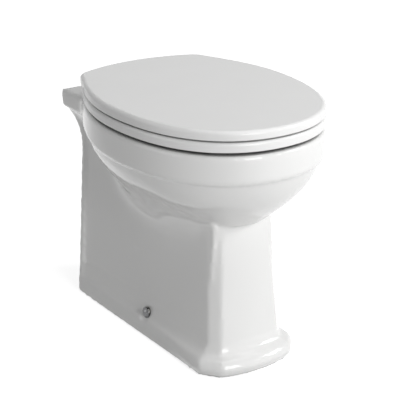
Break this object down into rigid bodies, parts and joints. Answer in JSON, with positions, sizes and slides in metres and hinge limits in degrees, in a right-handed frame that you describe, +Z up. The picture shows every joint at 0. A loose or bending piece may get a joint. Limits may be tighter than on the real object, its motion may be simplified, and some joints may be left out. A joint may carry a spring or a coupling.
{
  "type": "back to wall toilet pan",
  "caption": "Floor standing back-to-wall toilet pan in glazed china with an eight sided foot, a hinged seat ring and a hinged lid.",
  "frame": {"origin": "centre of the whole object's box, on the floor", "axes": "+Z up, front of the pan towards -Y, the wall plane on the +Y side, +X to the right of someone looking at the front"},
  "size_m": [0.355, 0.512, 0.457],
  "materials": {
    "china": "gloss white glaze",
    "seat_moulding": "gloss white moulding",
    "buffer_rubber": "soft pale rubber",
    "hinge_chrome": "polished plate",
    "nylon": "natural nylon",
    "plain_steel": "zinc plated"
  },
  "bodies": {
    "pan_body": {"pan": "china", "hinge_pillar_left": "hinge_chrome", "hinge_pillar_right": "hinge_chrome", "hinge_pins": "hinge_chrome", "pillar_gaskets": "buffer_rubber", "pillar_studs": "plain_steel", "stud_bushes": "buffer_rubber", "stud_washers": "plain_steel", "stud_wing_nuts": "nylon", "floor_bracket_left": "plain_steel", "floor_bracket_right": "plain_steel", "bracket_nuts": "nylon", "side_sleeves": "nylon", "side_screws": "plain_steel", "screw_cap_washers": "hinge_chrome", "screw_caps": "hinge_chrome"},
    "seat_body": {"seat_ring": "seat_moulding", "seat_buffers": "buffer_rubber", "seat_hinge_arm_left": "hinge_chrome", "seat_hinge_arm_right": "hinge_chrome", "seat_arm_bushes": "nylon", "seat_arm_screws": "plain_steel"},
    "lid_body": {"lid": "seat_moulding", "lid_buffers": "buffer_rubber", "lid_hinge_arm_left": "hinge_chrome", "lid_hinge_arm_right": "hinge_chrome", "lid_arm_bushes": "nylon", "lid_arm_screws": "plain_steel"}
  },
  "joints": [
    {"name": "seat_hinge", "type": "hinge", "parent": "pan_body", "child": "seat_body", "pos_m": [0, 0.179, 0.444], "axis": [-1, 0, 0], "range_deg": [0, 95]},
    {"name": "lid_hinge", "type": "hinge", "parent": "seat_body", "child": "lid_body", "pos_m": [0, 0.179, 0.444], "axis": [-1, 0, 0], "range_deg": [0, 95]}
  ]
}
